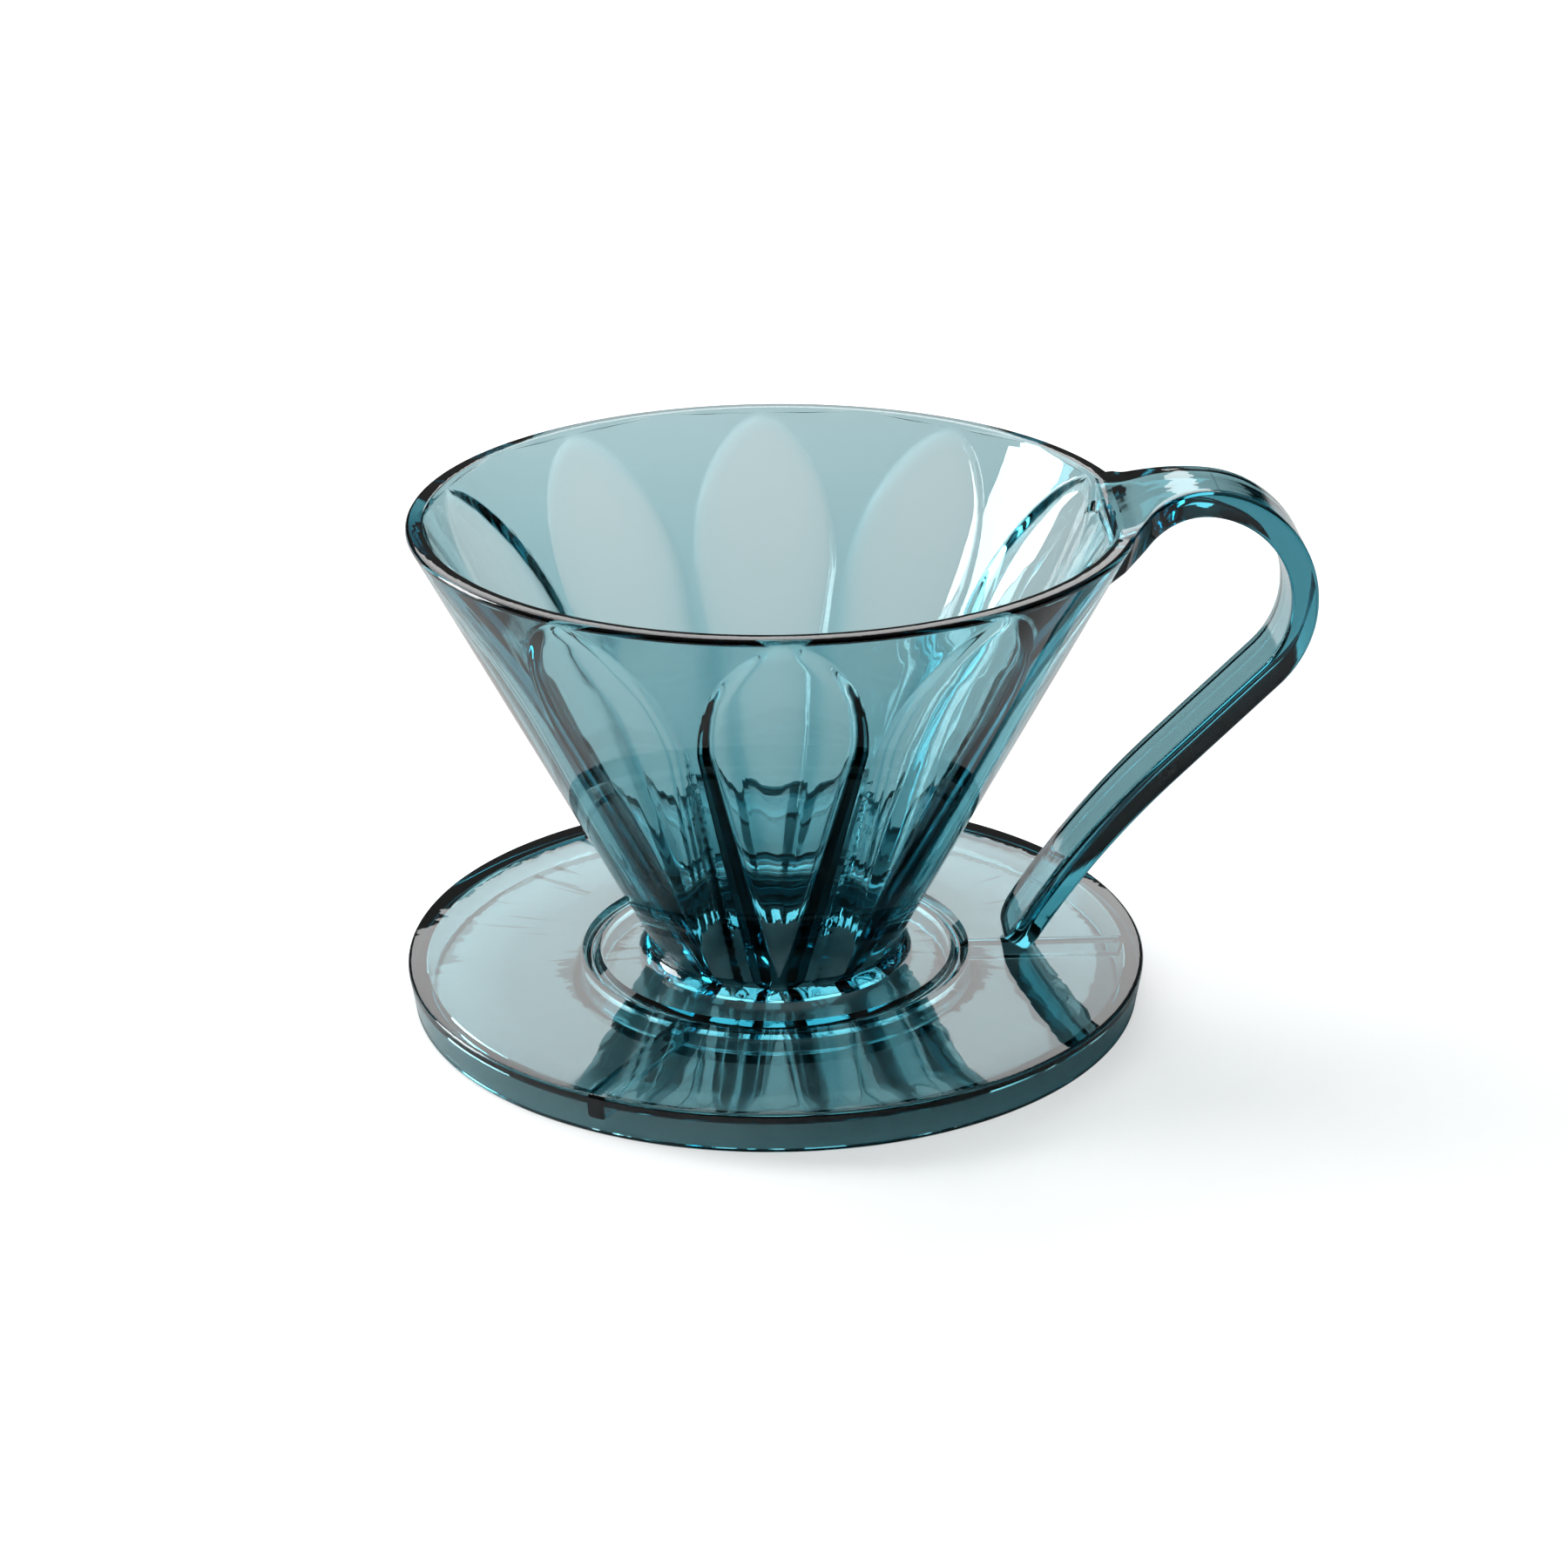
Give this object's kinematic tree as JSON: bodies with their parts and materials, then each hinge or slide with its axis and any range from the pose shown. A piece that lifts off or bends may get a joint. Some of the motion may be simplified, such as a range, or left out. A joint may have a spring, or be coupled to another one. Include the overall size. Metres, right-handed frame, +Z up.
{
  "type": "pour-over coffee dripper",
  "caption": "Transparent conical pour-over coffee dripper with petal-scooped wall, round base plate and open strap handle.",
  "frame": {"origin": "on the cone's axis, in the plane the base plate rests on", "axes": "+Z up out of the cone's mouth, +X towards the handle, +Y completes a right-handed frame"},
  "size_m": [0.1431, 0.118, 0.084],
  "materials": {
    "tinted_resin": "polished, see-through teal tint"
  },
  "bodies": {
    "root": {"filter_cone": "tinted_resin", "drain_neck": "tinted_resin", "base_plate": "tinted_resin", "server_collar": "tinted_resin", "vent_rib_1": "tinted_resin", "vent_rib_2": "tinted_resin", "vent_rib_3": "tinted_resin", "handle": "tinted_resin"}
  },
  "joints": []
}
